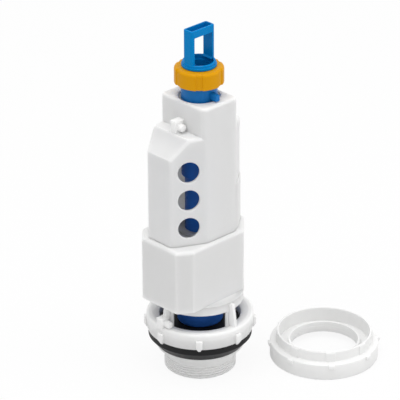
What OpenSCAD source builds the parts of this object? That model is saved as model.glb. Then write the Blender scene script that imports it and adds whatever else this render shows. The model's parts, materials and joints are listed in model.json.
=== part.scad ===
// Toilet flush valve: outlet base with cage, float housing, chamber housing, lifting overflow tube
// with its seal, clamped pull handle, and the lock nut lying beside it. Millimetres, +Z up.
// The origin is on the tube's axis at the lower end of the outlet.

/* [Outlet tail] */
// Outer radius of the outlet thread
thread_r = 29.8; // [28.5:0.1:32]
// Depth of the thread
thread_depth = 1.5; // [1:0.1:2]
// Length of the threaded stretch
thread_h = 12.6; // [8:0.2:20]
// Height of the plain land above the thread
land_h = 7.4; // [5:0.2:12]
// Radius of the water way
outlet_r = 25.5; // [20:0.1:26]
// Step from the land to the shank that the gasket grips
shank_step = 0.6; // [0.3:0.1:1]

/* [Gasket] */
// Thickness of the pale washer under the gasket
washer_h = 2.3; // [1:0.1:4]
// Outer radius of the washer
washer_r = 36.3; // [34:0.1:38]
// Height of the rubber gasket
gasket_h = 15.2; // [12:0.2:22]
// Radius of the gasket's lower edge
gasket_foot_r = 36.4; // [34:0.1:39]
// Height of the gasket's tapered part
gasket_taper_h = 7.8; // [4:0.1:10]
// How far the gasket stays inside the collar's lower edge
gasket_inset = 0.7; // [0.2:0.1:1.2]

/* [Collar and seat] */
// Outer radius of the collar
collar_r = 44.5; // [43.5:0.1:48]
// How much narrower the collar's lower edge is
collar_taper = 0.8; // [0.2:0.1:1.2]
// Height of the collar's tapered skirt
collar_taper_h = 8.4; // [6:0.2:10]
// Wall of the collar's skirt
skirt_t = 2.5; // [1.5:0.1:3]
// How far the skirt hangs below the seat
skirt_drop = 5.4; // [4:0.2:7]
// Height of the seat's wall above the seat
seat_wall_h = 6; // [4.5:0.2:9]
// Height of the collar's rim above the seat's wall
rim_h = 3; // [1:0.2:5]
// Inner radius of the collar's rim
rim_in_r = 40; // [38:0.2:41]
// Radius of the seat's wall
seat_wall_r = 30; // [29.4:0.1:30]
// Radius of the throat under the seal
throat_r = 27; // [26.4:0.1:27.6]
// Length of the throat
throat_h = 7; // [5:0.2:9]
// How far the nubs stand out of the collar
nub_out = 2; // [1:0.1:4]
// Width of a nub
nub_w = 5.5; // [3:0.1:7]
// Height of a nub
nub_h = 9; // [5:0.2:10]
// Height of the slanting foot of a nub
nub_foot_h = 2.2; // [1:0.1:4]
// Number of nubs
nub_count = 8; // [4:1:12]

/* [Cage] */
// Height of the windows between the legs
window_h = 15.6; // [12:0.2:24]
// Outer radius of the cage ring
ring_r = 36; // [35.4:0.1:38]
// Wall of the cage ring
ring_t = 3.5; // [2.5:0.1:4]
// Height of the cage ring
ring_h = 7.4; // [5:0.2:12]
// Number of legs
leg_count = 4; // [3:1:4]
// Width of a leg
leg_w = 8; // [5:0.2:12]
// Thickness of a leg's fin
fin_t = 2.6; // [1.5:0.1:4]

/* [Float housing] */
// Height of the float housing
lower_h = 56; // [50:1:80]
// Right side of the float housing, distance from the axis
lower_x = 28; // [27:0.2:32]
// Left side of the float housing, distance from the axis
lower_left_x = 32.5; // [27:0.5:34]
// Half width of its front face
lower_front_x = 20; // [14:0.5:24]
// Front face, distance from the axis
lower_front_y = 46; // [44:0.5:52]
// Depth of its right front chamfer
lower_chamfer = 12; // [6:0.5:16]
// Depth of its left front chamfer
lower_left_chamfer = 12.5; // [6:0.5:16]
// Back face, distance from the axis
lower_back_y = 41.5; // [39:0.5:50]
// Half width of its back face
lower_back_x = 9.5; // [5:0.5:16]
// Rounding of its vertical edges
lower_corner_r = 3.5; // [1:0.5:6]
// Rounding of its top edge
lower_edge_r = 3; // [1:0.5:4]
// Wall of both housings
wall = 2.2; // [1.5:0.1:3]
// Thickness of floor and roof
plate_t = 2.5; // [1.5:0.1:4]
// Depth of the spigot inside the cage ring
spigot_h = 6; // [2:0.2:7]
// Height of the cone at the housing's foot
foot_cone_h = 5; // [2:0.2:8]
// Width of the cone at the housing's foot
foot_cone_w = 8; // [4:0.2:10]

/* [Chamber housing] */
// Half width of the column
column_x = 25; // [24:0.1:27]
// Half depth of the column
column_y = 19; // [18.6:0.1:22]
// Height of the column above the float housing
column_h = 119; // [105:1:150]
// Rounding of the column's edges
column_corner_r = 3.5; // [2:0.5:5]
// Rounding of the column's edge beside the holes
column_front_r = 5; // [3:0.5:8]
// Rounding of the column's top edge
column_edge_r = 2.5; // [1:0.5:4]
// Radius of the hole in the column's top
top_hole_r = 16.8; // [16.2:0.05:17]
// Front face of the bulge, distance from the axis
bulge_y = 42.4; // [40:0.2:44]
// Right end of the bulge's front face
bulge_right_x = 10.6; // [6:0.2:13]
// Left end of the bulge's front face
bulge_left_x = 16.4; // [12:0.2:19]
// Depth of the bulge's left chamfer
bulge_left_chamfer = 17.4; // [10:0.2:20]
// Where the holed chamfer meets the column, distance in front of the axis
chamfer_y = 15.4; // [12:0.2:17]
// Height of the bulge's front face
bulge_front_h = 78; // [72:1:82]
// Height of the bulge's shoulder
bulge_shoulder_h = 93.6; // [90:0.2:94]
// Height of the ledge at the column
ledge_h = 94.2; // [94:0.2:98]
// Where the slope meets the shoulder, distance in front of the axis
shoulder_y = 28.4; // [26:0.2:32]
// Rounding of the bulge's roof
bulge_edge_r = 3.5; // [3:0.5:5]
// Back face of the rear bulge, distance from the axis
rear_y = 37; // [32:0.5:39]
// Half width of the rear bulge's back face
rear_x = 9; // [5:0.5:12]
// Where the rear chamfer meets the column, distance behind the axis
rear_chamfer_y = 16.6; // [12:0.2:18]
// Height of the rear bulge at its back face
rear_low_h = 91; // [80:1:92]
// Height of the rear cover
cover_h = 41; // [25:1:60]
// How far the rear cover stands out
cover_t = 0.9; // [0.5:0.1:2]
// Radius of the three holes
hole_r = 9; // [6:0.5:10]
// Height of the lowest hole above the float housing
hole_first_h = 15.8; // [11:0.2:18]
// Spacing of the holes
hole_pitch = 24.7; // [21:0.1:26]
// Number of holes
hole_count = 3; // [1:1:3]

/* [Pegs] */
// Radius of a peg
peg_r = 3.1; // [2:0.1:4]
// How far a peg stands out of its block
peg_l = 4.5; // [3:0.5:7]
// Width of a peg's block
peg_block_w = 6.5; // [5:0.5:8]
// Depth of a peg's block
peg_block_d = 9.7; // [8.5:0.1:12]
// Height of a peg's block
peg_block_h = 10.5; // [9:0.5:14]
// Right side of the pegs' blocks, distance from the axis
peg_x = 2; // [0:0.5:5]

/* [Lifting tube] */
// Outer radius of the overflow tube
tube_r = 12; // [11:0.1:12.4]
// Wall of the overflow tube
tube_t = 1.6; // [1:0.1:2.4]
// Length of the overflow tube
tube_h = 152.5; // [145:0.5:160]
// How far the tube lifts
lift = 18; // [10:0.5:20]
// Outer radius of the seal
seal_r = 29; // [28.2:0.1:29.2]
// Thickness of the seal
seal_h = 3.1; // [2:0.1:4]
// Radius of the seal's holder
holder_r = 20; // [18.5:0.1:22]
// Height of the holder's drum
holder_h = 12.7; // [11:0.1:15]
// Height of the holder's cone
holder_cone_h = 4; // [2:0.2:6]
// Radius of the retainer's flange
retainer_r = 22; // [19:0.2:23]
// Thickness of the retainer's flange
retainer_h = 3; // [2:0.1:3.6]
// Outer radius of the float
float_r = 24; // [20:0.2:24.3]
// Height of the float
float_h = 24; // [15:0.5:28]
// Wall of the float
float_t = 1.6; // [1:0.1:2.5]
// Height of the float's clip
clip_h = 3; // [2:0.2:5]
// Radius of the tube guide's flange
guide_flange_r = 18; // [16.5:0.5:19]
// Thickness of the tube guide's flange
guide_flange_h = 1.5; // [1:0.1:2.5]

/* [Neck and clamp nut] */
// Wall of the neck sleeve
neck_t = 2.45; // [2.2:0.05:2.7]
// How far the neck sleeve reaches down over the tube
neck_overlap = 24.5; // [15:0.5:30]
// Height of the neck's end above the column's top
neck_out_h = 21; // [18:0.5:26]
// How far the lug reaches from the axis
lug_r = 21.5; // [19:0.5:22]
// Height of the lug
lug_h = 8; // [5:0.5:9]
// Outer radius of the clamp nut
nut_r = 20.1; // [18.6:0.1:22]
// Height of the clamp nut
nut_h = 16.3; // [12:0.1:18]
// Thickness of the clamp nut's lip
nut_lip_h = 3.2; // [2:0.1:4]
// Rounding of the clamp nut's top edge
nut_edge_r = 2.5; // [1:0.1:3]
// Number of grooves in the clamp nut
nut_grooves = 6; // [4:1:8]
// Width of a groove
nut_groove_w = 5.5; // [3:0.1:7]
// Depth of a groove
nut_groove_d = 1; // [0.5:0.1:1.5]
// Turn of the clamp nut that points a groove to the front
nut_turn = -44; // [-60:1:60]
// Height of the collet ring
collet_h = 3; // [2:0.1:4]

/* [Pull handle] */
// Depth of the loop
loop_x = 9; // [7:0.2:14]
// Width of the loop
loop_y = 26; // [22:0.5:27]
// Height of the handle above the clamp nut
loop_h = 30.2; // [24:0.2:40]
// Wall of the loop
loop_t = 1.8; // [1.2:0.1:2.4]
// Width of the loop's uprights
upright_w = 3; // [2.2:0.1:4]
// Height of the beam over the window
beam_h = 6; // [4:0.2:9]
// Radius of the handle's foot
foot_r = 14.2; // [13.5:0.1:16]
// Height of each of the foot's two steps
foot_step_h = 2.2; // [1.5:0.1:3]
// Length of the stem inside the neck
stem_h = 42; // [36:0.5:50]
// Wall of the stem
stem_t = 1.8; // [1.2:0.1:2.2]
// Radius of the O-rings' section
o_ring_r = 0.6; // [0.5:0.05:0.7]

/* [Lock nut] */
// Radius of the lock nut's skirt
lock_r = 45.4; // [43:0.2:50]
// Height of the lock nut's skirt
lock_skirt_h = 14; // [11:0.5:18]
// Radius of the raised rim
lock_rim_r = 39.7; // [37:0.1:41]
// Wall of the raised rim
lock_rim_t = 1.7; // [1.2:0.1:3]
// Height of the raised rim above the skirt
lock_rim_h = 9; // [5:0.5:12]
// Thickness of the web inside the rim
lock_web_t = 3; // [2:0.2:4]
// Height of the threaded lip
lock_lip_h = 9.5; // [7:0.5:12]
// Wall of the threaded lip
lock_lip_t = 2; // [1.5:0.1:3]
// Free space between the base and the lock nut
lock_gap = 11; // [4:1:40]
// Direction in which the lock nut lies
lock_angle = 53.7; // [30:0.1:70]
// Turn of the lock nut's nubs
lock_nub_turn = -38.6; // [-45:0.1:45]
// Width of the lock nut's nubs
lock_nub_w = 5.4; // [3:0.1:7]
// Width of the ribs on the raised rim
lock_rib_w = 7.9; // [4:0.1:10]
// How far the web lies below the skirt's top
lock_web_drop = 4; // [2:0.5:5]

/* [Clearances] */
// Running clearance of the tube in its guide
run_gap = 0.1; // [0.05:0.01:0.1]
// Clearance between sliding pieces
slide_gap = 0.3; // [0.25:0.05:0.5]
// Clearance between pieces that are fixed together
fit_gap = 0.05; // [0.02:0.01:0.1]
// Space between the closed seal and its seat
seat_gap = 0.2; // [0.1:0.05:0.4]
// Space left over the float at the top of the lift
stop_gap = 1.5; // [1:0.1:3]

/* [Hidden] */
$fn = 96;
eps = 0.3;
arc_step = 30;
edge_step = 45;
least_r = 0.8;
peg_seat = 0.6;
over = 1;

// Heights of the base
root_r = thread_r - thread_depth;
shank_r = thread_r + shank_step;
z_land = thread_h + land_h;
z_gasket = z_land + washer_h;
z_under = z_gasket + gasket_h;
under_t = 3.5;
z_seat = z_under + under_t;
z_skirt = z_seat - skirt_drop;
z_deck = z_seat + seat_wall_h;
z_rim = z_deck + rim_h;
z_ring = z_deck + window_h;
z_lower = z_ring + ring_h;
skirt_in_r = collar_r - skirt_t;
collar_foot_r = collar_r - collar_taper;
gasket_r = collar_foot_r - gasket_inset;
plug_gap = 0.2;
plug_r = skirt_in_r - plug_gap;
ring_in_r = ring_r - ring_t;

// Heights of the housings
z_seam = z_lower + lower_h;
z_roof = z_seam - plate_t;
z_top = z_seam + column_h;
spigot_r = ring_in_r - slide_gap;
spigot_in_r = spigot_r - 2;

// Heights of the lifting pieces
bore_r = tube_r - tube_t;
z_seal = z_seat + seat_gap;
z_holder = z_seal + seal_h;
z_tube = z_holder + 3.2;
z_tube_end = z_tube + tube_h;
z_holder_top = z_holder + holder_h + holder_cone_h;
socket_r = tube_r + fit_gap;
hub_r = socket_r + 2.4;
seal_hole_r = bore_r + 3.6;
z_float_top = z_roof - lift - stop_gap;
z_float = z_float_top - float_h;
guide_in_r = tube_r + run_gap;
guide_r = guide_in_r + 2.9;

// Heights of the neck, the clamp nut and the handle
neck_in_r = tube_r + slide_gap;
neck_r = neck_in_r + neck_t;
neck_shoulder_h = 3;
z_neck = z_tube_end - neck_overlap;
z_neck_end = z_top + neck_out_h;
lug_gap = 0.5;
z_collet_top = z_neck_end + collet_h;
z_nut_lip = z_collet_top + slide_gap;
z_nut_top = z_nut_lip + nut_lip_h;
z_nut = z_nut_top - nut_h;
nut_in_r = neck_r + slide_gap + 0.05;
lip_in_r = neck_in_r + slide_gap;
z_foot = z_nut_top + slide_gap;
z_handle_top = z_foot + loop_h;
z_collar_top = z_foot + 2 * foot_step_h + 2;
stem_r = neck_in_r - slide_gap;
stem_in_r = stem_r - stem_t;
z_stem = z_foot - stem_h;
groove_d = 2 * o_ring_r - 0.2;

// Where the lock nut lies
lock_nub_out = 1.8;
lock_away = collar_r + nub_out + lock_gap + lock_r + lock_nub_out;
lock_pos = [lock_away * cos(lock_angle), lock_away * sin(lock_angle), 0];

// Outlines seen from above: x, y and rounding of each corner, counterclockwise
back_corner_y = lower_back_y - (lower_x - lower_back_x);
lower_plan = [
    [-lower_front_x, -lower_front_y, lower_corner_r],
    [lower_front_x, -lower_front_y, lower_corner_r],
    [lower_x, lower_chamfer - lower_front_y, lower_corner_r],
    [lower_x, back_corner_y, lower_corner_r],
    [lower_back_x, lower_back_y, lower_corner_r],
    [-lower_back_x, lower_back_y, lower_corner_r],
    [-lower_left_x, back_corner_y, lower_corner_r],
    [-lower_left_x, lower_left_chamfer - lower_front_y, lower_corner_r]
];
column_side = column_x - fit_gap;
column_plan = [
    [column_side, -column_y, column_front_r],
    [column_side, column_y, column_corner_r],
    [-column_side, column_y, column_corner_r],
    [-column_side, -column_y, column_corner_r]
];
bulge_left_r = 3;
bulge_right_r = 4;
side_r = 8;
rear_r = 5;
body_plan = [
    [-column_x, bulge_left_chamfer - bulge_y, bulge_left_r],
    [-bulge_left_x, -bulge_y, bulge_left_r],
    [bulge_right_x, -bulge_y, bulge_right_r],
    [column_x, -chamfer_y, side_r],
    [column_x, rear_chamfer_y, side_r],
    [rear_x, rear_y, rear_r],
    [-rear_x, rear_y, rear_r],
    [-column_x, rear_chamfer_y, side_r]
];

// The holed chamfer: its middle and the direction that it faces
chamfer_mid = [(bulge_right_x + column_x) / 2, -(bulge_y + chamfer_y) / 2];
chamfer_turn = -atan2(column_x - bulge_right_x, bulge_y - chamfer_y);

function unit(v) = v / norm(v);

function flat(p) = [p[0], p[1]];

// Points of an arc about c from angle a0 to a1
function arc(c, r, a0, a1, n = 6) =
    [for (i = [0:n]) let (a = a0 + (a1 - a0) * i / n) c + r * [cos(a), sin(a)]];

// Half the angle at corner c between its neighbours p and q
function half_angle(p, c, q) = acos(unit(flat(p) - flat(c)) * unit(flat(q) - flat(c))) / 2;

// The way from corner c to the middle of its angle
function inward(p, c, q) = unit(unit(flat(p) - flat(c)) + unit(flat(q) - flat(c)));

// The rounding of corner c between its neighbours p and q
function corner(p, c, q) =
    c[2] == 0 ? [flat(c)] :
    let (
        half = half_angle(p, c, q),
        o = flat(c) + inward(p, c, q) * c[2] / sin(half),
        s = flat(c) + unit(flat(p) - flat(c)) * c[2] / tan(half) - o,
        a0 = atan2(s[1], s[0]),
        turn = 180 - 2 * half
    ) arc(o, c[2], a0, a0 + turn, ceil(turn / arc_step));

// Corner c pulled in by d, with the rounding that is left
function pulled(p, c, q, d) =
    let (m = flat(c) + inward(p, c, q) * d / sin(half_angle(p, c, q)))
    [m[0], m[1], c[2] == 0 ? 0 : max(c[2] - d, least_r)];

// An outline pulled in by d
function inset_plan(plan, d) =
    let (n = len(plan))
    [for (i = [0:n - 1]) pulled(plan[(i + n - 1) % n], plan[i], plan[(i + 1) % n], d)];

// The points of an outline with its corners rounded
function rounded(plan) =
    let (n = len(plan))
    [for (i = [0:n - 1]) each corner(plan[(i + n - 1) % n], plan[i], plan[(i + 1) % n])];

// The outline, pulled in by inset, from height z0 to z1
module slab(plan, z0, z1, inset = 0) {
    translate([0, 0, z0])
        linear_extrude(z1 - z0)
            polygon(rounded(inset_plan(plan, inset)));
}

// Thin slices that round the top edge of a block at height z
module edge_slices(plan, z, r, inset) {
    for (a = [0:edge_step:90])
        slab(plan, z - r + r * sin(a) - eps, z - r + r * sin(a), inset + r * (1 - cos(a)));
}

// A block with the outline and a rounded top edge
module block(plan, z0, z1, edge_r, inset = 0) {
    hull() {
        slab(plan, z0, z0 + eps, inset);
        edge_slices(plan, z1, edge_r, inset);
    }
}

// The part of a piece between y0 and y1
module between(y0, y1) {
    intersection() {
        children();
        translate([-100, y0, 0])
            cube([200, y1 - y0, 400]);
    }
}

// Chamber body under the column: upright walls, a sloping front, a ledge and a sloping back
module body_block(z0, inset = 0) {
    r = bulge_edge_r - inset;
    hull() {
        slab(body_plan, z0, z0 + eps, inset);
        edge_slices(body_plan, z_seam + bulge_front_h - inset, 1, inset);
        between(-column_y, rear_y)
            edge_slices(body_plan, z_seam + rear_low_h - inset, 1, inset);
        between(-shoulder_y, column_y)
            edge_slices(body_plan, z_seam + bulge_shoulder_h - inset, r, inset);
        between(-column_y, column_y)
            edge_slices(body_plan, z_seam + ledge_h - inset, r, inset);
    }
}

// A wedge at angle a that stands out of a wall: its outline in the plane of radius and height
module wedge(a, width, outline) {
    rotate([0, 0, a])
        rotate([90, 0, 0])
            translate([0, 0, -width / 2])
                linear_extrude(width)
                    polygon(outline);
}

// A ring of n wedges
module wedges(n, turn, width, outline) {
    for (i = [0:n - 1])
        wedge(turn + 360 * i / n, width, outline);
}

// A ring with the profile, turned about the axis
module revolved(profile) {
    rotate_extrude()
        polygon(profile);
}

// A plain tube
module tube(r, r_in, z0, z1) {
    translate([0, 0, z0])
        difference() {
            cylinder(r = r, h = z1 - z0);
            translate([0, 0, -over])
                cylinder(r = r_in, h = z1 - z0 + 2 * over);
        }
}

// A block with a round peg that points to +X; the block's foot is at its back lower edge
module peg(x0, y0, z0, h) {
    translate([x0, y0, z0])
        cube([peg_block_w, peg_block_d, h]);
    translate([x0 + peg_block_w - over, y0 + peg_block_d / 2, z0 + h / 2])
        rotate([0, 90, 0]) {
            cylinder(r = peg_r, h = peg_l + over - peg_r / 3);
            translate([0, 0, peg_l + over - peg_r / 3])
                cylinder(r1 = peg_r, r2 = peg_r * 2 / 3, h = peg_r / 3);
        }
}

// An O-ring of the given middle radius
module o_ring(r, z) {
    translate([0, 0, z])
        rotate_extrude()
            translate([r, 0])
                circle(r = o_ring_r, $fn = 32);
}

module base_shell() {
    rim_r = 2.2;
    revolved(concat(
        [
            [outlet_r, 0],
            [root_r - 0.8, 0],
            [root_r, 0.8],
            [root_r, thread_h],
            [thread_r, thread_h],
            [thread_r, z_land],
            [shank_r, z_land],
            [shank_r, z_under],
            [shank_r + 4, z_under],
            [skirt_in_r, z_deck - 3.2],
            [skirt_in_r, z_skirt],
            [collar_foot_r, z_skirt],
            [collar_r, z_skirt + collar_taper_h]
        ],
        arc([collar_r - rim_r, z_rim - rim_r], rim_r, 0, 90),
        [
            [rim_in_r, z_rim],
            [seat_wall_r, z_deck],
            [seat_wall_r, z_seat],
            [throat_r, z_seat],
            [throat_r, z_seat - throat_h],
            [outlet_r, z_seat - throat_h - 3]
        ]
    ));
}

module cage() {
    leg_in_r = ring_in_r - 0.5;
    tube(ring_r, ring_in_r, z_ring, z_lower);
    wedges(leg_count, 0, leg_w, [
        [leg_in_r, z_deck - 2], [ring_r - 1, z_deck - 2], [ring_r - 1, z_ring + 1],
        [ring_in_r + 0.2, z_ring + 1], [leg_in_r, z_ring - 1]
    ]);
    wedges(leg_count, 0, fin_t, [
        [ring_r - 2, z_deck - 1], [collar_r - 2, z_deck - 1], [collar_r - 2, z_rim - 0.2],
        [ring_r + 0.6, z_lower - 1], [ring_r - 2, z_lower - 1]
    ]);
}

module valve_base() {
    nub_root_r = (skirt_in_r + collar_foot_r) / 2;
    color("white") {
        base_shell();
        cage();
        wedges(nub_count, 0, nub_w, [
            [nub_root_r, z_skirt], [collar_foot_r + 0.2, z_skirt], [collar_r + nub_out, z_skirt + nub_foot_h],
            [collar_r + nub_out, z_skirt + nub_h], [nub_root_r, z_skirt + nub_h]
        ]);
        peg(peg_x - peg_block_w, -collar_r + 0.5, z_rim - 1, peg_block_h - 0.5);
    }
}

module base_gasket() {
    color("black")
        revolved([
            [shank_r + fit_gap, z_gasket],
            [gasket_foot_r, z_gasket],
            [gasket_r, z_gasket + gasket_taper_h],
            [gasket_r, z_skirt - fit_gap],
            [plug_r, z_skirt - fit_gap],
            [plug_r, z_under],
            [shank_r + fit_gap, z_under]
        ]);
}

module gasket_washer() {
    color("gainsboro")
        tube(washer_r, shank_r + fit_gap, z_land, z_gasket);
}

module lower_housing() {
    color("white")
        difference() {
            union() {
                block(lower_plan, z_lower, z_seam, lower_edge_r);
                translate([0, 0, z_lower])
                    cylinder(r1 = ring_r, r2 = ring_r - foot_cone_w, h = foot_cone_h);
                translate([0, 0, z_lower - spigot_h])
                    cylinder(r = spigot_r, h = spigot_h + over);
            }
            slab(lower_plan, z_lower + plate_t, z_roof, wall);
            translate([0, 0, z_lower - spigot_h - over])
                cylinder(r = spigot_in_r, h = spigot_h + over);
            intersection() {
                slab(lower_plan, z_lower - over, z_lower + plate_t + over, wall);
                translate([0, 0, z_lower - over])
                    cylinder(r = spigot_in_r, h = plate_t + 2 * over);
            }
            translate([0, 0, z_roof - over])
                cylinder(r = guide_r + fit_gap, h = plate_t + 2 * over);
        }
}

module upper_housing() {
    z_column = z_seam + ledge_h - bulge_edge_r - over;
    color("white") {
        difference() {
            union() {
                body_block(z_seam);
                block(column_plan, z_column, z_top, column_edge_r);
                peg(peg_x - peg_block_w, peg_seat - column_y - peg_block_d, z_seam + bulge_shoulder_h - 1,
                    peg_block_h + 1);
            }
            body_block(z_seam - over, wall);
            slab(column_plan, z_column - over, z_top - plate_t, wall);
            translate([0, 0, z_top - plate_t - over])
                cylinder(r = top_hole_r, h = plate_t + 2 * over);
            for (i = [0:hole_count - 1])
                translate([chamfer_mid[0], chamfer_mid[1], z_seam + hole_first_h + i * hole_pitch])
                    rotate([0, 90, chamfer_turn])
                        cylinder(r = hole_r, h = 6 * wall, center = true);
        }
    }
}

// Panel that wraps the rear bulge from its foot to the height of the cover
module rear_cover() {
    color("white")
        intersection() {
            difference() {
                slab(body_plan, z_seam, z_seam + cover_h, -cover_t);
                slab(body_plan, z_seam - over, z_seam + cover_h + over);
            }
            translate([-100, rear_chamfer_y + 1.5, 0])
                cube([200, 100, 400]);
        }
}

module tube_guide() {
    color("whitesmoke")
        revolved([
            [guide_in_r, z_roof],
            [guide_r, z_roof],
            [guide_r, z_seam],
            [guide_flange_r, z_seam],
            [guide_flange_r, z_seam + guide_flange_h],
            [guide_in_r, z_seam + guide_flange_h]
        ]);
}

module overflow_tube() {
    color("royalblue")
        tube(tube_r, bore_r, z_tube, z_tube_end);
}

module neck_sleeve() {
    ring_z = z_neck + 6;
    ring_h = 2 * o_ring_r + 0.4;
    color("dodgerblue") {
        revolved([
            [neck_in_r, z_neck],
            [neck_r, z_neck],
            [neck_r, z_neck_end],
            [neck_in_r, z_neck_end],
            [neck_in_r, z_tube_end + neck_shoulder_h],
            [bore_r, z_tube_end + neck_shoulder_h],
            [bore_r, z_tube_end],
            [neck_in_r, z_tube_end],
            [neck_in_r, ring_z + ring_h / 2],
            [tube_r + 2 * o_ring_r + 2 * fit_gap, ring_z + ring_h / 2],
            [tube_r + 2 * o_ring_r + 2 * fit_gap, ring_z - ring_h / 2],
            [neck_in_r, ring_z - ring_h / 2]
        ]);
        wedge(0, 2.4, [
            [neck_r - 1, z_top + lug_gap + 1], [lug_r, z_top + lug_gap], [lug_r, z_top + lug_gap + lug_h],
            [neck_r - 1, z_top + lug_gap + lug_h - 1]
        ]);
        wedge(0, 4.4, [
            [lug_r - 2, z_top + lug_gap], [lug_r, z_top + lug_gap], [lug_r, z_top + lug_gap + lug_h],
            [lug_r - 2, z_top + lug_gap + lug_h]
        ]);
    }
}

module sleeve_o_ring() {
    color("black")
        o_ring(tube_r + fit_gap + o_ring_r, z_neck + 6);
}

module collet_ring() {
    color("white")
        rotate_extrude(angle = 340)
            polygon([
                [neck_in_r + fit_gap, z_neck_end],
                [neck_r - 0.15, z_neck_end],
                [neck_r - 0.15, z_neck_end + collet_h / 3],
                [neck_r - 1.15, z_collet_top],
                [neck_in_r + fit_gap, z_collet_top]
            ]);
}

module collet_nut() {
    color("orange")
        difference() {
            revolved(concat(
                [
                    [nut_in_r, z_nut],
                    [nut_r - 0.8, z_nut],
                    [nut_r, z_nut + 0.8]
                ],
                arc([nut_r - nut_edge_r, z_nut_top - nut_edge_r], nut_edge_r, 0, 90),
                [
                    [lip_in_r, z_nut_top],
                    [lip_in_r, z_nut_lip],
                    [nut_in_r, z_nut_lip]
                ]
            ));
            wedges(nut_grooves, nut_turn, nut_groove_w, [
                [nut_r - nut_groove_d, z_nut - over], [nut_r + over, z_nut - over],
                [nut_r + over, z_nut_top + over], [nut_r - nut_groove_d - 1, z_nut_top + over],
                [nut_r - nut_groove_d, z_nut_top - nut_edge_r]
            ]);
        }
}

module pull_handle() {
    loop_in_y = loop_y / 2 - loop_t;
    loop_in_x = loop_x / 2 - loop_t;
    ring_z = z_stem + 8;
    ring_h = 2 * o_ring_r + 0.4;
    color("deepskyblue")
        difference() {
            union() {
                revolved([
                    [stem_in_r, z_stem],
                    [stem_r, z_stem],
                    [stem_r, ring_z - ring_h / 2],
                    [stem_r - groove_d, ring_z - ring_h / 2],
                    [stem_r - groove_d, ring_z + ring_h / 2],
                    [stem_r, ring_z + ring_h / 2],
                    [stem_r, z_foot],
                    [foot_r, z_foot],
                    [foot_r, z_foot + foot_step_h],
                    [foot_r - 0.9, z_foot + foot_step_h],
                    [foot_r - 0.9, z_foot + 2 * foot_step_h],
                    [stem_r + 0.4, z_foot + 2 * foot_step_h],
                    [stem_r + 0.4, z_collar_top],
                    [stem_in_r, z_collar_top]
                ]);
                translate([-loop_x / 2, -loop_y / 2, z_foot + foot_step_h])
                    cube([loop_x, loop_y, z_handle_top - z_foot - foot_step_h]);
            }
            translate([-loop_in_x, -loop_in_y, z_foot + 2 * foot_step_h])
                cube([2 * loop_in_x, 2 * loop_in_y, loop_h]);
            translate([0, 0, z_stem - over])
                cylinder(r = stem_in_r, h = z_collar_top - z_stem + over);
            translate([-loop_x, upright_w - loop_y / 2, z_collar_top])
                cube([2 * loop_x, loop_y - 2 * upright_w, z_handle_top - beam_h - z_collar_top]);
        }
}

module stem_o_ring() {
    color("black")
        o_ring(stem_r - groove_d + o_ring_r + 0.02, z_stem + 8);
}

module seal_holder() {
    edge_r = 3;
    color("navy")
        revolved(concat(
            [[bore_r, z_holder]],
            arc([holder_r - edge_r, z_holder + edge_r], edge_r, -90, 0),
            [
                [holder_r, z_holder + holder_h],
                [hub_r, z_holder_top],
                [socket_r, z_holder_top],
                [socket_r, z_tube],
                [bore_r, z_tube]
            ]
        ));
}

module main_seal() {
    color("black")
        revolved([
            [seal_hole_r + fit_gap, z_seal],
            [seal_r - 0.6, z_seal],
            [seal_r, z_seal + 0.6],
            [seal_r, z_holder],
            [seal_hole_r + fit_gap, z_holder]
        ]);
}

module seal_retainer() {
    z0 = z_seal - retainer_h;
    color("white") {
        revolved([
            [bore_r, z0],
            [retainer_r, z0],
            [retainer_r, z_seal],
            [seal_hole_r, z_seal],
            [seal_hole_r, z_holder],
            [bore_r, z_holder]
        ]);
        wedges(leg_count, 45, 2, [
            [retainer_r - 4, z0 - 3], [throat_r - 1.2, z0 - 1], [throat_r - 1.2, z_seal - 0.8],
            [retainer_r - 4, z_seal - 0.8]
        ]);
    }
}

module air_float() {
    in_r = tube_r + fit_gap;
    color("lightgray")
        revolved([
            [in_r, z_float],
            [in_r + float_t, z_float],
            [in_r + float_t, z_float_top - float_t],
            [float_r - float_t, z_float_top - float_t],
            [float_r - float_t, z_float],
            [float_r, z_float],
            [float_r, z_float_top - 2],
            [float_r - 2, z_float_top],
            [in_r, z_float_top]
        ]);
}

module float_clip() {
    color("dimgray")
        rotate_extrude(angle = 315)
            polygon([
                [tube_r + fit_gap, z_float - clip_h],
                [tube_r + 3, z_float - clip_h],
                [tube_r + 3, z_float],
                [tube_r + fit_gap, z_float]
            ]);
}

module lock_nut() {
    web_top = lock_skirt_h - lock_web_drop;
    web_low = web_top - lock_web_t;
    lip_r = root_r + lock_lip_t;
    rim_top = lock_skirt_h + lock_rim_h;
    color("white")
        translate(lock_pos) {
            revolved([
                [root_r, web_low - 2],
                [lip_r, web_low - 2],
                [lip_r, web_low],
                [lock_r - skirt_t, web_low],
                [lock_r - skirt_t, 0],
                [lock_r, 0],
                [lock_r, lock_skirt_h - 0.8],
                [lock_r - 0.8, lock_skirt_h],
                [lock_rim_r, lock_skirt_h],
                [lock_rim_r, rim_top],
                [lock_rim_r - lock_rim_t, rim_top],
                [lock_rim_r - lock_rim_t, web_top],
                [lip_r, web_top],
                [lip_r, web_low - 2 + lock_lip_h],
                [root_r, web_low - 2 + lock_lip_h]
            ]);
            wedges(nub_count, lock_nub_turn, lock_nub_w, [
                [lock_r - 1.5, lock_skirt_h - 4.5], [lock_r, lock_skirt_h - 4.5],
                [lock_r + lock_nub_out, lock_skirt_h - 2.5], [lock_r + lock_nub_out, lock_skirt_h],
                [lock_r - 1.5, lock_skirt_h + 0.3]
            ]);
            wedges(nub_count, lock_nub_turn, lock_rib_w, [
                [lock_rim_r - 0.8, lock_skirt_h - 0.5], [lock_rim_r + 0.5, lock_skirt_h - 0.5],
                [lock_rim_r + 0.5, rim_top - 1], [lock_rim_r - 0.8, rim_top - 0.2]
            ]);
        }
}

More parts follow.
